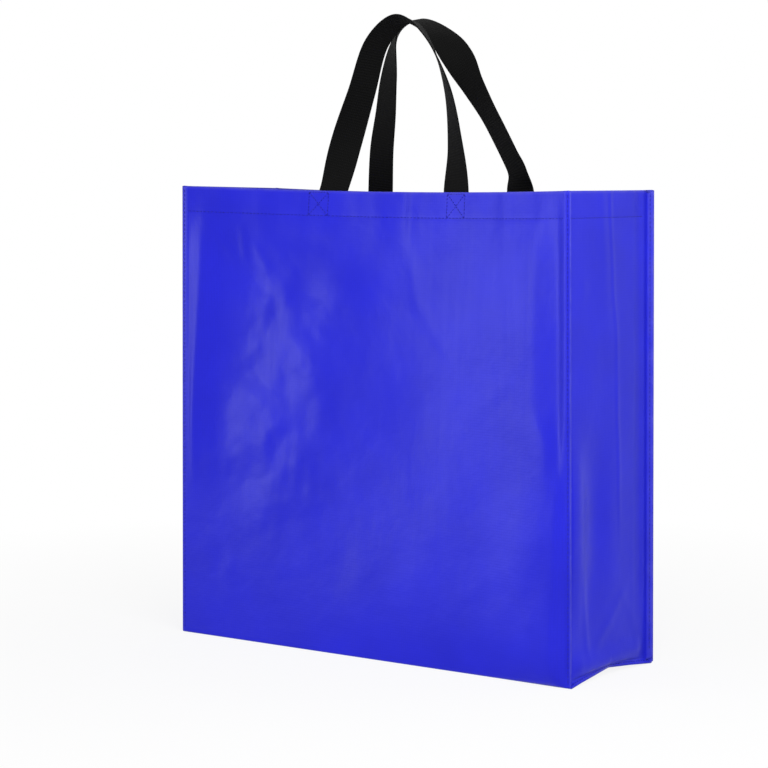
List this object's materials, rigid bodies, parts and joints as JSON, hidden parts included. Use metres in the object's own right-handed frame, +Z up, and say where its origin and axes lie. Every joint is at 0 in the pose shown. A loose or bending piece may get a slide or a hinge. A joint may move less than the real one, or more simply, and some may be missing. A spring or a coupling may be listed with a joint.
{
  "type": "carrier bag",
  "caption": "Blue laminated woven polypropylene carrier bag with an open top, folded base, sewn side gussets and black webbing loop handles for carrying goods.",
  "frame": {"origin": "middle of the base, on the floor", "axes": "+X to the bag's right as seen from the front, +Y from the front to the back, +Z up"},
  "size_m": [0.4622, 0.1549, 0.6149],
  "materials": {
    "woven_sheet": "satin gloss laminate over a fine woven tape",
    "webbing": "matte ribbed webbing"
  },
  "bodies": {
    "root": {"body_panel": "woven_sheet", "left_gusset": "woven_sheet", "right_gusset": "woven_sheet", "front_handle": "webbing", "back_handle": "webbing"}
  },
  "joints": []
}
